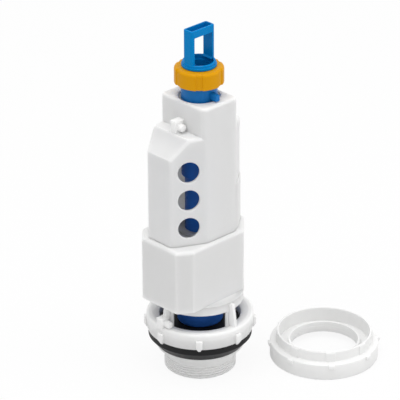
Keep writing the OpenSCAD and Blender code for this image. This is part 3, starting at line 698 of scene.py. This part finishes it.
class VALVE_OT_housings(bpy.types.Operator):
    """Make the float housing, the chamber housing with its holes, and the rear cover"""

    bl_idname = "valve.housings"
    bl_label = "Housings"

    def execute(self, context):
        s = in_mm(context.scene.valve_sizes)
        self.float_housing(s)
        self.chamber_housing(s)
        self.rear_cover(s)
        return {"FINISHED"}

    def float_housing(self, s):
        """The lower housing on its round spigot, hollow, with ways for the water and the tube."""
        r, spigot_r, way_r, guide_r = 3.5, 32.2, 30.2, 15.05
        plan = [(-20, -46, r), (20, -46, r), (28, -34, r), (28, 23, r), (9.5, 41.5, r), (-9.5, 41.5, r),
                (-32.5, 23, r), (-32.5, -33.5, r)]
        bm = bmesh.new()
        low = [(x, y, z) for d, z in ((0.9, 0.0), (0.26, 0.26), (0.0, 0.9))
               for x, y, z in slice_points(plan, s.lower_low + z, d)]
        hull(bm, low + edge_points(plan, s.seam, 3.0, 0.0))
        shell = solid("float_housing", bm)
        bm = bmesh.new()
        ledge = s.lower_low + 1
        revolve(bm, rounded([(0, s.lower_low - 6, 0), (spigot_r, s.lower_low - 6, 0.5), (spigot_r, s.lower_low, 0),
                             (s.ring_r + 0.4, s.lower_low, 0.3), (s.ring_r + 0.4, ledge, 0.6),
                             (0, ledge, 0)]), 128)
        joined(shell, solid("spigot", bm), "UNION")
        bm = bmesh.new()
        hull(bm, slice_points(plan, s.lower_low + 2.5, s.wall) + slice_points(plan, s.seam - 2.5, s.wall))
        joined(shell, solid("float_room", bm), "DIFFERENCE")
        bm = bmesh.new()
        hull(bm, slice_points(plan, s.lower_low - 8, s.wall) + slice_points(plan, s.lower_low + 4, s.wall))
        floor_way = solid("floor_way", bm)
        bm = bmesh.new()
        revolve(bm, [(0, s.lower_low - 7), (way_r, s.lower_low - 7), (way_r, s.lower_low + 3.5),
                     (0, s.lower_low + 3.5)], 96)
        joined(floor_way, solid("way_round", bm), "INTERSECT")
        joined(shell, floor_way, "DIFFERENCE")
        bm = bmesh.new()
        revolve(bm, [(0, s.seam - 5), (guide_r, s.seam - 5), (guide_r, s.seam + 3), (0, s.seam + 3)], 64)
        joined(shell, solid("guide_way", bm), "DIFFERENCE")
        merged(shell, 0.01)
        placed(shell, "lower_housing", "valve_body", "white_plastic")

    def body_plan(self, s):
        """The chamber's outline seen from above, with its unequal bulge in front."""
        x = s.column_x
        return [(-x, 17.4 - s.bulge_y, 3), (-s.bulge_left_x, -s.bulge_y, 3), (s.bulge_right_x, -s.bulge_y, 4),
                (x, -s.chamfer_y, 8), (x, 16.6, 8), (9, 37, 5), (-9, 37, 5), (-x, 16.6, 8)]

    def body_points(self, s, low, d):
        """Points of the chamber below its column, pulled in by d: walls, sloped shoulder and roof."""
        plan = self.body_plan(s)
        y, rear, slope_end = s.column_y, 37.0, -28.4
        front_edge, rear_edge, slope_top, roof = (s.seam + rise - d for rise in (78, 91, 93.6, 94.2))
        r = 3.0 - d if d < 2 else 1.0
        return (slice_points(plan, low, d)
                + edge_points(plan, front_edge, 1.0, d)
                + edge_points(plan, rear_edge, 1.0, d, -y, rear)
                + edge_points(plan, slope_top, r, d, slope_end, y)
                + edge_points(plan, roof, r, d, -y, y))

    def chamber_housing(self, s):
        """The upper housing: chamber, square column and peg, hollow, with its round holes."""
        x, y = s.column_x - 0.05, s.column_y
        column = [(x, -y, 5), (x, y, 3.5), (-x, y, 3.5), (-x, -y, 3.5)]
        foot = s.seam + 89.7
        bm = bmesh.new()
        hull(bm, self.body_points(s, s.seam, 0.0))
        shell = solid("chamber_housing", bm)
        bm = bmesh.new()
        hull(bm, slice_points(column, foot) + edge_points(column, s.column_top, 2.5, 0.0))
        joined(shell, solid("column", bm), "UNION")
        low, block = Vector((-4.5, 0.6 - y - 9.7, s.seam + 92.6)), Vector((6.5, 9.7, 11.5))
        bm = bmesh.new()
        slab(bm, low, low + block, 0.7)
        joined(shell, solid("peg_block", bm), "UNION")
        bm = bmesh.new()
        pin(bm, low, block, s.peg_r, 4.5)
        joined(shell, solid("peg_pin", bm), "UNION")
        bm = bmesh.new()
        hull(bm, self.body_points(s, s.seam - 1, s.wall))
        joined(shell, solid("chamber_room", bm), "DIFFERENCE")
        bm = bmesh.new()
        hull(bm, slice_points(column, foot - 1, s.wall) + slice_points(column, s.column_top - 2.5, s.wall))
        joined(shell, solid("column_room", bm), "DIFFERENCE")
        bm = bmesh.new()
        hole, top = s.top_hole_r, s.column_top
        revolve(bm, rounded([(0, top - 5, 0), (hole, top - 5, 0), (hole, top - 0.1, 1.0), (hole + 3, top, 0.2),
                             (hole + 3, top + 2, 0), (0, top + 2, 0)]), 96)
        joined(shell, solid("top_way", bm), "DIFFERENCE")
        joined(shell, self.hole_cutters(s), "DIFFERENCE")
        placed(shell, "upper_housing", "valve_body", "white_plastic")

    def hole_cutters(self, s):
        """Three round cutters across the chamfer, with a flare that rounds the holes' edges."""
        hole = s.hole_r
        middle = Vector(((s.bulge_right_x + s.column_x) / 2, -(s.bulge_y + s.chamfer_y) / 2, 0))
        turn = -math.atan2(s.column_x - s.bulge_right_x, s.bulge_y - s.chamfer_y)
        bm = bmesh.new()
        for i in range(3):
            cutter = revolve(bm, rounded([(0, -8, 0), (hole, -8, 0), (hole, -0.05, 0.7), (hole + 3, 0, 0.2),
                                          (hole + 3, 4, 0), (0, 4, 0)]), 64)
            lie = (Matrix.Translation(middle + Vector((0, 0, s.hole_first + i * s.hole_pitch)))
                   @ Matrix.Rotation(turn, 4, "Z") @ Matrix.Rotation(math.radians(90), 4, "Y"))
            bmesh.ops.transform(bm, matrix=lie, verts=cutter)
        return solid("hole_cutters", bm)

    def rear_cover(self, s):
        """A thin panel round the chamber's rear that fades into its sides, with a chamfered upper edge."""
        plan = self.body_plan(s)
        start, fade, thick, chamfer = 18.1, 5.0, 0.9, 0.35
        pairs = list(zip(rounded(plan, FINE_ARC), rounded(inset(plan, -thick), FINE_ARC)))
        points = []
        for i, (p, q) in enumerate(pairs):
            p_last, q_last = (Vector(c) for c in pairs[i - 1])
            count = round((Vector(p) - p_last).length)
            for k in range(count):
                here = p_last.lerp(Vector(p), k / count)
                share = min(1.0, (here.y - start) / fade)
                if share > 0:
                    out = q_last.lerp(Vector(q), k / count)
                    points.append((here, here.lerp(out, share), here.lerp(out, 0.6 * share)))
        points.sort(key=lambda trio: math.atan2(trio[0].y, trio[0].x))
        inner, outer, upper = zip(*points)
        top = s.seam + 41
        bm = bmesh.new()
        rows = [[[bm.verts.new((p.x, p.y, z)) for p in line] for line in (skin, inner)]
                for skin, z in ((outer, s.seam), (outer, top - chamfer), (upper, top))]
        last = len(points) - 1
        for (skin, back), (skin_up, back_up) in zip(rows, rows[1:]):
            for i in range(last):
                bm.faces.new((skin[i], skin[i + 1], skin_up[i + 1], skin_up[i]))
                bm.faces.new((back[i + 1], back[i], back_up[i], back_up[i + 1]))
            for i in (0, last):
                bm.faces.new((skin[i], back[i], back_up[i], skin_up[i]))
        for skin, back in (rows[0], rows[-1]):
            for i in range(last):
                bm.faces.new((skin[i], back[i], back[i + 1], skin[i + 1]))
        placed(solid("rear_panel", bm), "rear_cover", "valve_body", "white_plastic", finish="white_skin")


class VALVE_OT_lift_tube(bpy.types.Operator):
    """Make the overflow tube, the neck sleeve with its lug, the seal holder and the main seal"""

    bl_idname = "valve.lift_tube"
    bl_label = "Lifting tube"

    def execute(self, context):
        s = in_mm(context.scene.valve_sizes)
        self.neck(s)
        self.holder(s)
        self.tube()
        bm = bmesh.new()
        revolve(bm, rounded([(SEAL_BORE, SEAL_LOW, 0.3), (s.seal_r, SEAL_LOW, 0.3),
                             (s.seal_r, s.seal_top, 0.5), (SEAL_BORE, s.seal_top, 0.3)]), 128)
        placed(solid("rubber_seal", bm), "main_seal", "lift_tube", "black_rubber")
        return {"FINISHED"}

    def neck(self, s):
        """The wider sleeve on the tube's upper end, with a stop inside and a lug over the column."""
        inner, stop = s.neck_r - 2.45, TUBE_TOP + 3
        lug, lug_in, lug_out = s.column_top + 0.5, s.neck_r - 1, 21.5
        bm = bmesh.new()
        revolve(bm, rounded([
            (inner, s.neck_low, 0.4), (s.neck_r, s.neck_low, 0.8), (s.neck_r, s.neck_top, 0.5),
            (inner, s.neck_top, 0.4), (inner, stop, 0.3), (TUBE_BORE, stop, 0.3), (TUBE_BORE, TUBE_TOP, 0.3),
            (inner, TUBE_TOP, 0.3)]), 112)
        neck = solid("neck", bm)
        ribbed(neck, "lug", (0,), 4.4, [
            (lug_in, lug + 0.3), (lug_out, lug), (lug_out, lug + 5.0), (lug_in, lug + 6.2)], 0.5)
        # The neck's finish paints shade with a darker blue, and light on its foot with the lighter tube blue.
        placed(neck, "neck_sleeve", "lift_tube", "blue_plastic", finish="shaded_neck_blue")

    def tube(self):
        """The plain overflow tube inside the housings."""
        bm = bmesh.new()
        revolve(bm, rounded([(TUBE_BORE, TUBE_LOW, 0.3), (TUBE_R, TUBE_LOW, 0.3), (TUBE_R, TUBE_TOP, 0.4),
                             (TUBE_BORE, TUBE_TOP, 0.4)]), 112)
        # Painted light: the tube gets the lighter tube blue instead of its slot's deep blue.
        placed(solid("overflow_pipe", bm), "overflow_tube", "lift_tube", "dark_blue_plastic",
               finish="lit_tube_blue")

    def holder(self, s):
        """The blue drum between the tube and the seal, rounded towards its top."""
        r, low, top = s.holder_r, 44.3, 61.0
        socket_r = TUBE_R + 0.05
        bm = bmesh.new()
        revolve(bm, rounded([
            (TUBE_BORE, low, 0.2), (SEAL_BORE, low, 0.2), (SEAL_BORE, s.seal_top, 0.2),
            (r - 1.2, s.seal_top, 2.0), (r - 0.2, 50.0, 6.0), (r - 0.6, 57.0, 1.4), (14.45, top, 0.6),
            (socket_r, top, 0.3), (socket_r, TUBE_LOW, 0.2), (TUBE_BORE, TUBE_LOW, 0.2)]), 128)
        placed(solid("seal_cup", bm), "seal_holder", "lift_tube", "dark_blue_plastic")


class VALVE_OT_clamp_nut(bpy.types.Operator):
    """Make the amber clamp nut with its grip grooves"""

    bl_idname = "valve.clamp_nut"
    bl_label = "Clamp nut"

    def execute(self, context):
        s = in_mm(context.scene.valve_sizes)
        lip, lip_r, bore = s.nut_top - 1.2, 12.6, 15.1
        profile = rounded([
            (bore, s.nut_low, 0.4), (s.nut_r, s.nut_low, 1.0), (s.nut_r, s.nut_top, 2.6), (lip_r, s.nut_top, 0.4),
            (lip_r, lip, 0.3), (bore, lip, 0.3)], FINE_ARC)
        bm = bmesh.new()
        revolve(bm, profile, 360, lambda a, r, z: (self.gripped(s, a, r), z))
        placed(solid("clamp_ring", bm), "collet_nut", "clamp_nut", "amber_plastic", 40.0)
        return {"FINISHED"}

    def gripped(self, s, angle, r):
        """The radius of a point, less where one of the six grooves runs down the outside."""
        band, half_width, depth, first = 3.2, 3.1, 0.9, -44.0
        if r < s.nut_r - band:
            return r
        away = (math.degrees(angle) - first + 30.0) % 60.0 - 30.0
        off = abs(away) * math.pi / 180.0 * s.nut_r
        deep = min(1.0, max(0.0, (half_width - off) / 0.45))
        return r - depth * deep * min(1.0, (r - s.nut_r + band) / 2.2)


class VALVE_OT_handle(bpy.types.Operator):
    """Make the pull handle with its stem, its stepped foot and its loop"""

    bl_idname = "valve.handle"
    bl_label = "Pull handle"

    def execute(self, context):
        s = in_mm(context.scene.valve_sizes)
        foot = s.handle_low
        step, rim = foot + 2.2, foot + 4.2
        stem_in, stem_r, foot_r, rim_r, rim_in = 10.2, 12.0, 14.3, 13.4, 11.6
        bm = bmesh.new()
        revolve(bm, rounded([
            (stem_in, s.stem_low, 0.3), (stem_r, s.stem_low, 0.5), (stem_r, foot, 0.2), (foot_r, foot, 0.5),
            (foot_r, step, 0.7), (rim_r, step, 0.2), (rim_r, rim, 0.6), (stem_in, rim, 0)]), 112)
        handle = solid("handle", bm)
        x, y, r = s.loop_x / 2, s.loop_y / 2, 2.2
        slot_wall, slot_deep, post, beam = 1.6, 4.6, 3, 6
        box = [(-x, -y, r), (x, -y, r), (x, y, r), (-x, y, r)]
        bm = bmesh.new()
        hull(bm, slice_points(box, foot + 1.8) + edge_points(box, s.handle_top, 0.7, 0.0, step=30))
        joined(handle, solid("loop", bm), "UNION")
        bm = bmesh.new()
        hull(bm, slice_points(box, s.handle_top - slot_deep, slot_wall)
             + slice_points(box, s.handle_top + 2, slot_wall))
        joined(handle, solid("loop_slot", bm), "DIFFERENCE")
        bm = bmesh.new()
        revolve(bm, [(0, s.stem_low - 2), (stem_in, s.stem_low - 2), (stem_in, foot + 0.4), (rim_in, foot + 0.4),
                     (rim_in, rim), (0, rim)], 96)
        joined(handle, solid("loop_room", bm), "DIFFERENCE")
        bm = bmesh.new()
        side, lintel = y - post, s.handle_top - beam
        window = rounded([(-side, rim, 1.6), (side, rim, 1.6), (side, lintel, 0.6), (-side, lintel, 0.6)])
        prism(bm, [[bm.verts.new((reach, across, z)) for across, z in window] for reach in (-12.0, 12.0)])
        joined(handle, solid("loop_window", bm), "DIFFERENCE")
        soften = handle.modifiers.new("soften", "BEVEL")
        soften.width = 0.35 * MM
        soften.segments = 2
        soften.limit_method = "ANGLE"
        soften.angle_limit = math.radians(50)
        baked(handle)
        placed(handle, "pull_handle", "handle", "blue_plastic")
        return {"FINISHED"}


class VALVE_OT_lock_nut(bpy.types.Operator):
    """Make the loose lock nut with its raised rim, nubs and inner thread"""

    bl_idname = "valve.lock_nut"
    bl_label = "Lock nut"

    def execute(self, context):
        s = in_mm(context.scene.valve_sizes)
        r = s.lock_r
        bore, lip = s.root_r, s.root_r + 2
        skirt_in, rim_r, rim_in = r - 2.5, 39.7, 38.0
        shoulder, rim_top, sleeve_top = 14, 23, 14.5
        lines = []
        for i in range(3, -1, -1):
            z = 6.4 + i * s.thread_pitch
            lines += [(bore, z + 0.5, 0), (bore + 0.15, z, 0), (bore, z - 0.5, 0)]
        bm = bmesh.new()
        revolve(bm, rounded([
            (bore, 5, 0.3), (lip, 5, 0.4), (lip, 7, 0.4), (skirt_in, 7, 0.4), (skirt_in, 0, 0.4),
            (r, 0, 0.6), (r, shoulder, 1.1), (rim_r, shoulder, 0.7), (rim_r, rim_top, 0.7),
            (rim_in, rim_top, 0.7), (rim_in, 10, 0.8), (lip, 10, 0.6), (lip, sleeve_top, 0.6),
            (bore, sleeve_top, 0.6)] + lines), 160)
        nut = solid("ring_nut_piece", bm)
        eighths = [45 * i - 38.6 for i in range(8)]
        ribbed(nut, "nut_nub", eighths, 5.4, [
            (r - 1.5, 9.5), (r, 9.5), (r + 1.8, 11.5), (r + 1.8, shoulder), (r - 1.5, 14.3)], 0.5)
        ribbed(nut, "rim_rib", eighths, 7.9, [(38.9, 13.5), (40.2, 13.5), (40.2, 22), (38.9, 22.6)], 0.25)
        nut.data.transform(Matrix.Translation((s.lock_x * MM, s.lock_y * MM, 0.0)))
        placed(nut, "lock_nut", "ring_nut", "white_plastic", finish="white_skin")
        return {"FINISHED"}


class VALVE_OT_inner_parts(bpy.types.Operator):
    """Give the inner pieces their plastics and rubber"""

    bl_idname = "valve.inner_parts"
    bl_label = "Inner pieces"

    def execute(self, context):
        slots = {part["node"]: part["material_slot"] for part in frame["record"]["subparts"]}
        for name, piece in frame["nodes"].items():
            piece.data.materials.clear()
            piece.data.materials.append(finish_of(slots[name]))
        return {"FINISHED"}


class VALVE_PT_panel(bpy.types.Panel):
    """Lists what the valve is made of"""

    bl_idname = "VALVE_PT_panel"
    bl_label = "Flush Valve"
    bl_space_type = "VIEW_3D"
    bl_region_type = "UI"
    bl_category = "Flush Valve"

    def draw(self, context):
        for operator in OPERATORS:
            self.layout.operator(operator.bl_idname)
        for group in (context.scene.valve_sizes, context.scene.valve_colours, context.scene.valve_stage):
            column = self.layout.column()
            for key in type(group).__annotations__:
                column.prop(group, key)


GROUPS = (ValveSizes, ValveColours, ValveStage)
OPERATORS = (VALVE_OT_stage, VALVE_OT_inner_parts, VALVE_OT_base, VALVE_OT_gasket, VALVE_OT_housings,
             VALVE_OT_lift_tube, VALVE_OT_clamp_nut, VALVE_OT_handle, VALVE_OT_lock_nut)


def register():
    for kind in GROUPS + OPERATORS + (VALVE_PT_panel,):
        bpy.utils.register_class(kind)
    bpy.types.Scene.valve_sizes = PointerProperty(type=ValveSizes)
    bpy.types.Scene.valve_colours = PointerProperty(type=ValveColours)
    bpy.types.Scene.valve_stage = PointerProperty(type=ValveStage)


def unregister():
    del bpy.types.Scene.valve_stage
    del bpy.types.Scene.valve_colours
    del bpy.types.Scene.valve_sizes
    for kind in reversed(GROUPS + OPERATORS + (VALVE_PT_panel,)):
        bpy.utils.unregister_class(kind)


def main():
    register()
    bpy.ops.valve.stage()
    bpy.ops.valve.inner_parts()
    bpy.ops.valve.base()
    bpy.ops.valve.gasket()
    bpy.ops.valve.housings()
    bpy.ops.valve.lift_tube()
    bpy.ops.valve.clamp_nut()
    bpy.ops.valve.handle()
    bpy.ops.valve.lock_nut()


if __name__ == "__main__":
    main()
